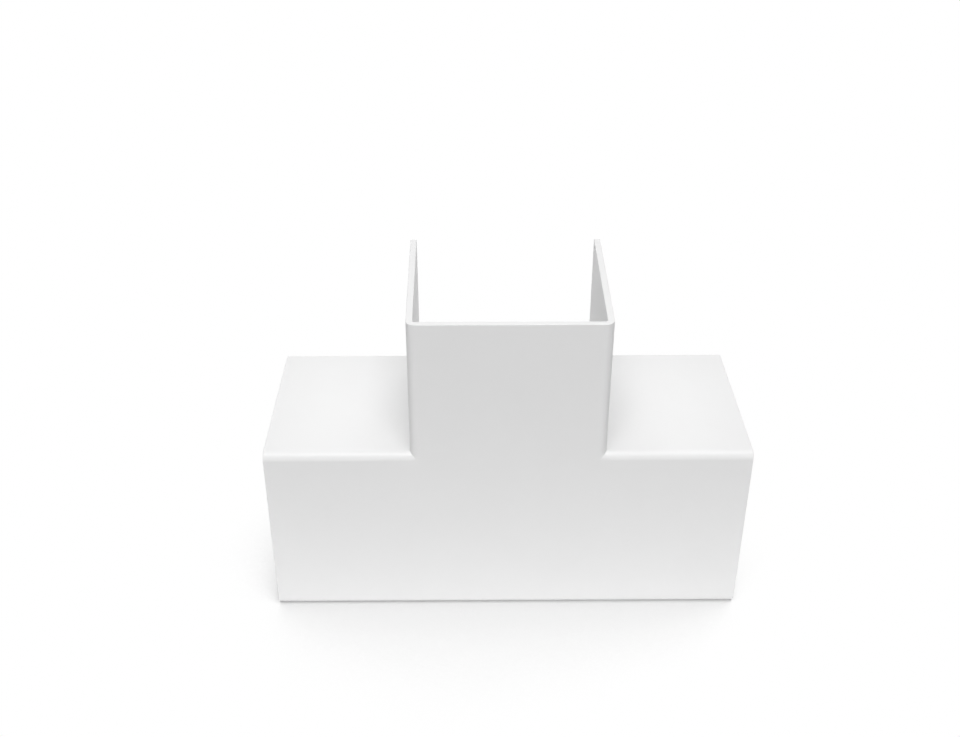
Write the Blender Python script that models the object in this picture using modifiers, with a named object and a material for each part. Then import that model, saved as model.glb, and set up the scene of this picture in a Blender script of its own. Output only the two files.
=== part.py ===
# Trunking tee cover, one injection moulding in rigid white PVC.
# It closes a T junction between lengths of square cable trunking fixed to a wall.
# The front plate faces -Y and its walls run back to the wall surface at +Y.
# The straight run lies along X and the branch rises along +Z.
# The back and the three limb ends are open, and the draft makes every wall lean
# outward toward the back. The lowest edge is at Z = 0, and X and Y are centred.
from math import radians, tan

import bmesh
import bpy
from mathutils import Matrix, Vector

MM = 0.001

# Trunking that the tee covers, the same in the run and in the branch
TRUNKING_WIDTH = 50.0 * MM
TRUNKING_DEPTH = 50.0 * MM

# Room between the trunking and the inside of the tee, measured at the front plate
SIDE_PLAY = 0.2 * MM
FRONT_PLAY = 0.5 * MM

# Moulding
WALL = 1.8 * MM
LIMB_REACH = 40.5 * MM  # how far each limb stands out from the junction
INNER_RADIUS = 0.6 * MM  # inside of the rounded front edges
ROUNDING_STEPS = 8
DRAFT = radians(1.0)

# Outer shape, from the trunking out
BRANCH_HALF = TRUNKING_WIDTH / 2 + SIDE_PLAY + WALL
RUN_HEIGHT = 2 * BRANCH_HALF
RUN_HALF = BRANCH_HALF + LIMB_REACH
DEPTH = TRUNKING_DEPTH + FRONT_PLAY + WALL
OUTER_RADIUS = INNER_RADIUS + WALL

# Places, with the rear bottom edge lowest because the bottom wall leans down to it
FRONT_Y = -DEPTH / 2
REAR_Y = DEPTH / 2
BASE_Z = DEPTH * tan(DRAFT)
RUN_TOP_Z = BASE_Z + RUN_HEIGHT
BRANCH_TOP_Z = RUN_TOP_Z + LIMB_REACH

# The walls are drawn this far past the rear rim, which is then cut flat
TRIM = 2.0 * MM
MERGE = 0.01 * MM

RIGHT = Vector((1, 0, 0))
UP = Vector((0, 0, 1))


def clear_scene():
    for obj in list(bpy.data.objects):
        bpy.data.objects.remove(obj, do_unlink=True)


def new_collection(name):
    collection = bpy.data.collections.new(name)
    bpy.context.scene.collection.children.link(collection)
    return collection


def rigid_pvc():
    """White rigid PVC with the satin skin that it takes from the mould."""
    material = bpy.data.materials.new("white_rigid_pvc")
    material.use_nodes = True
    shader = material.node_tree.nodes["Principled BSDF"]
    shader.inputs["Base Color"].default_value = (0.83, 0.83, 0.82, 1.0)
    shader.inputs["Metallic"].default_value = 0.0
    shader.inputs["Roughness"].default_value = 0.38
    shader.inputs["IOR"].default_value = 1.53
    return material


def lean_wall(plate, edge, outward, depth):
    """Lean the wall that stands on one edge of the plate outward by the draft."""
    wall = next(face for face in edge.link_faces if face is not plate)
    for vert in set(wall.verts) - set(edge.verts):
        vert.co += outward * depth * tan(DRAFT)


def right_half_skin():
    """Outer skin to the right of the middle plane: the front plate and three leaning walls."""
    corners = (
        (0, BASE_Z),
        (RUN_HALF, BASE_Z),
        (RUN_HALF, RUN_TOP_Z),
        (BRANCH_HALF, RUN_TOP_Z),
        (BRANCH_HALF, BRANCH_TOP_Z),
        (0, BRANCH_TOP_Z),
    )
    bm = bmesh.new()
    rounded = bm.edges.layers.float.new("bevel_weight_edge")
    plate = bm.faces.new([bm.verts.new((x, FRONT_Y, z)) for x, z in corners])
    bottom, run_end, shoulder, branch_side, branch_end, middle = plate.edges
    walls = ((bottom, -UP), (shoulder, UP), (branch_side, RIGHT))

    drawn = bmesh.ops.extrude_edge_only(bm, edges=[edge for edge, outward in walls])
    rear = [item for item in drawn["geom"] if isinstance(item, bmesh.types.BMVert)]
    depth = DEPTH + TRIM
    bmesh.ops.translate(bm, verts=rear, vec=(0, depth, 0))
    for edge, outward in walls:
        lean_wall(plate, edge, outward, depth)
        edge[rounded] = 1.0

    mesh = bpy.data.meshes.new("tee_cover")
    bm.to_mesh(mesh)
    bm.free()
    mesh.shade_smooth()
    return mesh


def rim_cutter(collection):
    """Block behind the rear rim, wider and taller than the walls it trims."""
    size = Matrix.Diagonal((2 * (RUN_HALF + TRIM), 2 * TRIM, BRANCH_TOP_Z + 4 * TRIM, 1))
    bpy.ops.mesh.primitive_cube_add(size=1)
    cutter = bpy.context.object
    cutter.name = "rim_cutter"
    cutter.data.transform(Matrix.Translation((0, REAR_Y + TRIM, BRANCH_TOP_Z / 2)) @ size)
    cutter.display_type = "WIRE"
    cutter.hide_render = True
    for home in cutter.users_collection:
        home.objects.unlink(cutter)
    collection.objects.link(cutter)
    return cutter


def tee_cover(collection, cutter):
    """The moulding: half skin mirrored, front edges rounded, wall given, rear rim cut flat."""
    cover = bpy.data.objects.new("tee_cover", right_half_skin())
    cover.data.materials.append(rigid_pvc())
    collection.objects.link(cover)

    mirror = cover.modifiers.new("both_halves", "MIRROR")
    mirror.use_axis = (True, False, False)
    mirror.use_clip = True
    mirror.merge_threshold = MERGE

    rounding = cover.modifiers.new("front_edge_rounding", "BEVEL")
    rounding.limit_method = "WEIGHT"
    rounding.width = OUTER_RADIUS
    rounding.segments = ROUNDING_STEPS

    wall = cover.modifiers.new("wall", "SOLIDIFY")
    wall.thickness = WALL
    wall.offset = -1
    wall.use_even_offset = True
    wall.use_quality_normals = True

    rim = cover.modifiers.new("flat_rear_rim", "BOOLEAN")
    rim.operation = "DIFFERENCE"
    rim.solver = "EXACT"
    rim.object = cutter

    cover.modifiers.new("flat_faces_shaded_flat", "WEIGHTED_NORMAL")
    return cover


clear_scene()
tee_cover(new_collection("trunking_tee"), rim_cutter(new_collection("cutters")))
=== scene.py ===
from math import cos, pi, radians, sin, tan

import bmesh
import bpy
import numpy as np
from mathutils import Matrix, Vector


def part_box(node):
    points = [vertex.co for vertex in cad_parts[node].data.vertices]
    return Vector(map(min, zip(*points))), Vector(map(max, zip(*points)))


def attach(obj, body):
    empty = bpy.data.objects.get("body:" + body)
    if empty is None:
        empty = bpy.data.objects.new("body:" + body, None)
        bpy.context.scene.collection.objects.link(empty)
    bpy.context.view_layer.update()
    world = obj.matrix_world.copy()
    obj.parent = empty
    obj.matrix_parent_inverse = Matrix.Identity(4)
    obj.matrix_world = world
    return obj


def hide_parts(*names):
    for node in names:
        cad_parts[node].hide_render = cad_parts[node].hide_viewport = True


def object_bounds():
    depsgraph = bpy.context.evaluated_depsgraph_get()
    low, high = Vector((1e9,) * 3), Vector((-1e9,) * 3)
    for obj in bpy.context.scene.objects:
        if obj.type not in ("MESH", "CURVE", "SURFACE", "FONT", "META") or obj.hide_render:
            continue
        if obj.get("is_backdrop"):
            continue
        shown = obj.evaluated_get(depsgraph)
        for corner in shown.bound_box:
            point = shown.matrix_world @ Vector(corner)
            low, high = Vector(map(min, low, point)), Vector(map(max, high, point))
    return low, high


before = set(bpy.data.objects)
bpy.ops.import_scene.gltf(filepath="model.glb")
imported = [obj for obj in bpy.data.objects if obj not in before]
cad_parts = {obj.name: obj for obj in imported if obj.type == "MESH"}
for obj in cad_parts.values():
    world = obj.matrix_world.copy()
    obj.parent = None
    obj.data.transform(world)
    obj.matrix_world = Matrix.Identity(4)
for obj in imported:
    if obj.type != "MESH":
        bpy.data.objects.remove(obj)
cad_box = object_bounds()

# Tee cover
# One injection moulding in white rigid PVC: a T-shaped front plate whose edges roll back
# into five walls, all of one thickness. It closes over a junction in square trunking,
# so its back and its three limb ends are open.
MM = 0.001
WALL = 1.8 * MM
LIMB_HALF_WIDTH = 27.0 * MM  # from a limb's axis to its side wall, at the front plate
ROUNDING = 2.4 * MM  # outside radius of the front edges
DRAFT = radians(1.0)  # each wall leans outward toward the back, so that it leaves the mould
RIM_BREAK = 0.15 * MM  # a moulded rim isn't knife sharp
SHARP_ANGLE = radians(30)  # faces that meet at more than this keep a sharp edge
RIM_ANGLE = radians(50)  # and those that meet at more than this get the rim's break
RIM_STEPS = 3
MERGE = 0.001 * MM
PLATE_STEPS = 14
ROUNDING_STEPS = 14
WALL_STEPS = 12
LIMB_STEPS = 20
FLOW_SIZE = 18 * MM
GRAIN_SIZE = 0.5 * MM  # a real mould's grain is about 0.1 mm, too fine to show
GRAIN_DEPTH = 0.01 * MM

cover_low, cover_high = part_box("tee_cover")
front_y, rear_y = cover_low.y, cover_high.y
limb_reach = cover_high.x
run_axis_z = cover_high.z - limb_reach


def half_section(inset):
    """Points (across, y) of the wall's skin from the limb's axis to the rear rim.

    The skin at a given inset under the outside face is a straight line along the plate,
    then an arc about the rounding's centre, then a straight line that leans by the draft
    and ends in the rear plane.
    """
    wall_normal = radians(90) - DRAFT
    centre_across = LIMB_HALF_WIDTH - ROUNDING / cos(DRAFT) + ROUNDING * tan(DRAFT)
    centre_y = front_y + ROUNDING
    radius = ROUNDING - inset
    plate = np.linspace(0, centre_across, PLATE_STEPS, endpoint=False)
    turn = np.linspace(0, wall_normal, ROUNDING_STEPS + 1)
    arc_across = centre_across + radius * np.sin(turn)
    arc_y = centre_y - radius * np.cos(turn)
    wall_y = np.linspace(arc_y[-1], rear_y, WALL_STEPS + 1)[1:]
    wall_across = arc_across[-1] + (wall_y - arc_y[-1]) * tan(DRAFT)
    across = np.concatenate([plate, arc_across, wall_across])
    y = np.concatenate([np.full(PLATE_STEPS, front_y + inset), arc_y, wall_y])
    return np.column_stack([across, y])


def wall_section():
    """Closed outline of a limb's wall: outside skin from one rear rim to the other, then back inside."""
    outside, inside = half_section(0), half_section(WALL)
    mirrored = np.array([-1, 1])
    there = np.concatenate([outside[:0:-1] * mirrored, outside])
    back = np.concatenate([inside[:0:-1] * mirrored, inside])[::-1]
    return np.concatenate([there, back])


def limb(section, along, across, mitre):
    """Vertices and faces of one limb, in the row's frame.

    Each point of the section is carried from its mitre with the next limb, at a distance
    from the junction's centre given by its place across the limb, straight out to the
    limb's end. A band of faces between the outside and the inside closes the end.
    """
    share = np.linspace(0, 1, LIMB_STEPS + 1)[:, None]
    start = mitre(section[:, 0])[None, :]
    out = start + (limb_reach - start) * share
    points = (
        out[..., None] * along
        + section[None, :, 0, None] * across
        + section[None, :, 1, None] * np.array([0, 1, 0])
        + np.array([0, 0, run_axis_z])
    )
    around = len(section)
    ring = np.arange(around)
    following = (ring + 1) % around
    steps = np.arange(LIMB_STEPS)[:, None] * around
    sides = np.stack([steps + ring, steps + following, steps + around + following, steps + around + ring], -1)
    last = LIMB_STEPS * around
    pair = np.arange(around // 2 - 1)
    rim = last + np.stack([pair, pair + 1, around - 2 - pair, around - 1 - pair], -1)
    return points.reshape(-1, 3), np.concatenate([sides.reshape(-1, 4), rim])


def tee_mesh():
    """The three limbs, mitred at the junction, as one closed skin."""
    section = wall_section()
    right, up = np.array([1, 0, 0]), np.array([0, 0, 1])
    limbs = [
        limb(section, right, up, lambda across: np.maximum(across, 0)),
        limb(section, -right, up, lambda across: np.maximum(across, 0)),
        limb(section, up, right, np.abs),
    ]
    points, faces, count = [], [], 0
    for limb_points, limb_faces in limbs:
        points.append(limb_points)
        faces.append(limb_faces + count)
        count += len(limb_points)
    mesh = bpy.data.meshes.new("tee_cover_skin")
    mesh.from_pydata(np.concatenate(points).tolist(), [], np.concatenate(faces).tolist())
    bm = bmesh.new()
    bm.from_mesh(mesh)
    bmesh.ops.remove_doubles(bm, verts=bm.verts, dist=MERGE)
    bmesh.ops.recalc_face_normals(bm, faces=bm.faces)
    bm.to_mesh(mesh)
    bm.free()
    mesh.shade_smooth()
    mesh.set_sharp_from_angle(angle=SHARP_ANGLE)
    return mesh


def linear(hex_colour):
    """The linear colour of an sRGB hex value such as F0F0F0."""
    parts = [int(hex_colour[i:i + 2], 16) / 255 for i in (0, 2, 4)]
    return (*[v / 12.92 if v <= 0.04045 else ((v + 0.055) / 1.055) ** 2.4 for v in parts], 1.0)


def add_node(owner, kind, links=(), **settings):
    """Adds a node to a material or world, sets its sockets or properties, and links (output, input) pairs."""
    node = owner.node_tree.nodes.new(kind)
    for name, value in settings.items():
        if hasattr(node, name):
            setattr(node, name, value)
        else:
            node.inputs[name.replace("_", " ")].default_value = value
    for output, socket in links:
        owner.node_tree.links.new(output, node.inputs[socket])
    return node


def moulded_upvc():
    """White rigid PVC as it leaves the mould: opaque, satin, faintly uneven in gloss."""
    material = bpy.data.materials.new("moulded_upvc")
    material.use_nodes = True
    shader = material.node_tree.nodes["Principled BSDF"]
    shader.inputs["IOR"].default_value = 1.53
    coordinates = add_node(material, "ShaderNodeTexCoord")
    place = add_node(
        material,
        "ShaderNodeMapping",
        [(coordinates.outputs["Object"], "Vector")],
        Location=(0, 0, -run_axis_z),
    )
    # Flow of the melt, which leaves the skin a little uneven in tone and gloss
    flow = add_node(
        material, "ShaderNodeTexNoise", [(place.outputs["Vector"], "Vector")],
        Scale=1 / FLOW_SIZE, Detail=3.0, Roughness=0.55,
    )
    tone = add_node(material, "ShaderNodeMix", [(flow.outputs["Fac"], "Factor")], data_type="RGBA")
    tone.inputs["A"].default_value = linear("ECECEC")
    tone.inputs["B"].default_value = linear("EFEFEF")
    gloss = add_node(
        material, "ShaderNodeMapRange", [(flow.outputs["Fac"], "Value")],
        To_Min=0.34, To_Max=0.42,
    )
    # Spark-eroded grain of the mould
    grain = add_node(
        material, "ShaderNodeTexNoise", [(place.outputs["Vector"], "Vector")],
        Scale=1 / GRAIN_SIZE, Detail=2.0, Roughness=0.6,
    )
    relief = add_node(
        material, "ShaderNodeBump", [(grain.outputs["Fac"], "Height")],
        Strength=0.15, Distance=GRAIN_DEPTH,
    )
    links = material.node_tree.links
    links.new(tone.outputs["Result"], shader.inputs["Base Color"])
    links.new(gloss.outputs["Result"], shader.inputs["Roughness"])
    links.new(relief.outputs["Normal"], shader.inputs["Normal"])
    return material


tee = bpy.data.objects.new("tee_cover_skin", tee_mesh())
bpy.context.scene.collection.objects.link(tee)
rim_break = tee.modifiers.new("rim_break", "BEVEL")
rim_break.limit_method = "ANGLE"
rim_break.angle_limit = RIM_ANGLE
rim_break.width = RIM_BREAK
rim_break.segments = RIM_STEPS
tee.modifiers.new("flat_faces_stay_flat", "WEIGHTED_NORMAL").keep_sharp = True
tee.data.materials.append(moulded_upvc())
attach(tee, "root")
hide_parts("tee_cover")

# Table
# A plain white sheet that the fitting stands on. The underside of the run leans by the
# draft, so the sheet lies at that slope, a hair under the whole underside.
SHEET_SIZE = 6.0
SHEET_GAP = 0.1 * MM
SHADE_OCCLUSION_REACH = 200 * MM  # how far around a point of the sheet the ambient occlusion that paints its shade looks
PAINTED_SHADE_LEAN = radians(8)  # the occlusion leans toward the right, so that the painted shade falls a little wider on the left
SHADED_SKY, OPEN_SKY = 0.424, 0.732  # shares of unoccluded directions between which the sheet turns from painted shade to white
PAINTED_VEIL = 0.2  # least share of white painted over the shade, a painted veil that lightens it as glare in the lens would
CARD_EDGE_Y = -96.0 * MM  # just below the photograph's frame
CARD_HALF_WIDTH = 0.6
CARD_HALF_DEPTH = 0.4
sheet_mesh = bpy.data.meshes.new("white_sheet")
sheet_corners = np.array([[-1, -1], [1, -1], [1, 1], [-1, 1]]) * SHEET_SIZE / 2
sheet_z = cover_low.z - SHEET_GAP - (sheet_corners[:, 1] - rear_y) * tan(DRAFT)
sheet_mesh.from_pydata(np.column_stack([sheet_corners, sheet_z]).tolist(), [], [(0, 1, 2, 3)])
sheet = bpy.data.objects.new("white_sheet", sheet_mesh)
bpy.context.scene.collection.objects.link(sheet)


def shows_background(owner):
    """1 for camera, glossy and transmitted rays, which see the white surroundings, and 0 for the others."""
    rays = add_node(owner, "ShaderNodeLightPath")
    shows = rays.outputs["Is Camera Ray"]
    for kind in ("Is Glossy Ray", "Is Transmission Ray"):
        either = add_node(owner, "ShaderNodeMath", [(shows, 0), (rays.outputs[kind], 1)], operation="MAXIMUM")
        shows = either.outputs["Value"]
    return shows


def white_paper():
    """Matt white paper, burnt out to white wherever ambient occlusion finds it open, with painted shade near
    the fitting.

    A dark card that lies in front of the fitting, below the frame, keeps light from coming
    back off the table there. The camera and reflections see paper in its place, and see
    its shade painted a little greyer than the paper that sends light back.
    """
    material = bpy.data.materials.new("white_paper")
    material.use_nodes = True
    nodes = material.node_tree.nodes
    nodes.remove(nodes["Principled BSDF"])
    paper = add_node(material, "ShaderNodeBsdfDiffuse", Color=linear("EFEFEF"), Roughness=0.0)
    # painted shade: the paper as the camera and reflections see it, greyer than the paper that lights the
    # fitting
    shade = add_node(material, "ShaderNodeBsdfDiffuse", Color=linear("E3E3E3"), Roughness=0.0)
    card = add_node(material, "ShaderNodeBsdfDiffuse", Color=linear("303030"), Roughness=0.0)
    burnt_out = add_node(material, "ShaderNodeEmission", Color=(1, 1, 1, 1), Strength=1.0)
    # Painted shade: ambient occlusion, leaned to the right, sets where the camera and reflections see the
    # sheet's lit shade and where they see white
    painted_shade_lean_normal = add_node(material, "ShaderNodeCombineXYZ", X=sin(PAINTED_SHADE_LEAN), Z=cos(PAINTED_SHADE_LEAN))
    shade_occlusion = add_node(
        material, "ShaderNodeAmbientOcclusion", [(painted_shade_lean_normal.outputs["Vector"], "Normal")],
        Distance=SHADE_OCCLUSION_REACH, samples=16,
    )
    painted_shade_mix = add_node(
        material, "ShaderNodeMapRange", [(shade_occlusion.outputs["AO"], "Value")],
        From_Min=SHADED_SKY, From_Max=OPEN_SKY, To_Min=PAINTED_VEIL,
    )
    seen = add_node(
        material, "ShaderNodeMixShader",
        [(painted_shade_mix.outputs["Result"], 0), (shade.outputs["BSDF"], 1), (burnt_out.outputs["Emission"], 2)],
    )
    coordinates = add_node(material, "ShaderNodeTexCoord")
    from_card = add_node(
        material, "ShaderNodeMapping", [(coordinates.outputs["Object"], "Vector")],
        Location=(0, CARD_HALF_DEPTH - CARD_EDGE_Y, 0),
    )
    axes = add_node(material, "ShaderNodeSeparateXYZ", [(from_card.outputs["Vector"], "Vector")])
    within = []
    for axis, reach in (("X", CARD_HALF_WIDTH), ("Y", CARD_HALF_DEPTH)):
        distance = add_node(material, "ShaderNodeMath", [(axes.outputs[axis], 0)], operation="ABSOLUTE")
        near = add_node(material, "ShaderNodeMath", [(distance.outputs["Value"], 0)], operation="LESS_THAN")
        near.inputs[1].default_value = reach
        within.append(near.outputs["Value"])
    on_card = add_node(material, "ShaderNodeMath", [(within[0], 0), (within[1], 1)], operation="MULTIPLY")
    unseen = add_node(
        material, "ShaderNodeMixShader",
        [(on_card.outputs["Value"], 0), (paper.outputs["BSDF"], 1), (card.outputs["BSDF"], 2)],
    )
    surface = add_node(
        material, "ShaderNodeMixShader",
        [(shows_background(material), 0), (unseen.outputs["Shader"], 1), (seen.outputs["Shader"], 2)],
    )
    material.node_tree.links.new(surface.outputs["Shader"], nodes["Material Output"].inputs["Surface"])
    return material


sheet_mesh.materials.append(white_paper())
sheet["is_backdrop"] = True

# Light
# An arch of five softboxes, from low in front of the fitting, over it, to low behind it, in
# a room of weak even light. The camera and reflections see the room as plain white.
ARCH_RADIUS = 1.2
ARCH_CENTRE_Z = 40 * MM
ROOM_LEVEL = 0.04
LOW_FRONT_X = -0.08  # a little to the left
world = bpy.data.worlds.new("studio")
bpy.context.scene.world = world
world.use_nodes = True
room = world.node_tree.nodes["Background"]
room.inputs["Color"].default_value = (1, 1, 1, 1)
room.inputs["Strength"].default_value = ROOM_LEVEL
backdrop = add_node(world, "ShaderNodeBackground", Color=(1, 1, 1, 1), Strength=1.0)
surroundings = add_node(
    world, "ShaderNodeMixShader",
    [(shows_background(world), 0), (room.outputs["Background"], 1), (backdrop.outputs["Background"], 2)],
)
world_output = world.node_tree.nodes["World Output"]
world.node_tree.links.new(surroundings.outputs["Shader"], world_output.inputs["Surface"])


def softbox(name, rise, size, level):
    """A softbox on the arch, facing its centre. A white surface that faces it renders at the level."""
    lamp = bpy.data.lights.new(name, "AREA")
    lamp.shape = "RECTANGLE"
    lamp.size, lamp.size_y = size
    lamp.energy = level * (pi * ARCH_RADIUS) ** 2
    holder = bpy.data.objects.new(name, lamp)
    bpy.context.scene.collection.objects.link(holder)
    holder.location = (0, -ARCH_RADIUS * cos(rise), ARCH_CENTRE_Z + ARCH_RADIUS * sin(rise))
    holder.rotation_euler = (radians(90) - rise, 0, 0)
    return holder


low_front = softbox("low_front_softbox", rise=radians(12), size=(2.0, 0.45), level=0.604)
low_front.location.x = LOW_FRONT_X
softbox("high_front_softbox", rise=radians(65), size=(0.7, 0.45), level=0.391)
softbox("overhead_softbox", rise=radians(90), size=(1.4, 0.9), level=0.381)
softbox("high_rear_softbox", rise=radians(135), size=(0.7, 0.45), level=0.201)
low_rear = softbox("low_rear_softbox", rise=radians(168), size=(2.0, 0.45), level=0.15)
for low_softbox in (low_front, low_rear):
    low_softbox.visible_glossy = False  # polarised, so that it leaves no glare on the faces that look up

# Camera
# In front of the fitting and a little to its left, looking down at it.
CAMERA_PLACE = (-9.5 * MM, -288.4 * MM, 239.5 * MM)
LOOKING_DOWN = radians(30.92)
TURNED_RIGHT = radians(0.37)
SENSOR_WIDTH = 36.0  # mm, as the lens
LENS = 43.78
NEAREST, FARTHEST = 0.01, 20.0
camera_data = bpy.data.cameras.new("camera")
camera_data.sensor_width = SENSOR_WIDTH
camera_data.lens = LENS
camera_data.clip_start = NEAREST
camera_data.clip_end = FARTHEST
camera = bpy.data.objects.new("camera", camera_data)
camera.location = CAMERA_PLACE
camera.rotation_euler = (radians(90) - LOOKING_DOWN, 0, -TURNED_RIGHT)
bpy.context.scene.collection.objects.link(camera)
bpy.context.scene.camera = camera
bpy.context.scene.view_settings.view_transform = "Standard"

boxes = {"cad": cad_box, "visual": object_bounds()}
{name: [list(corner) for corner in box] for name, box in boxes.items()}
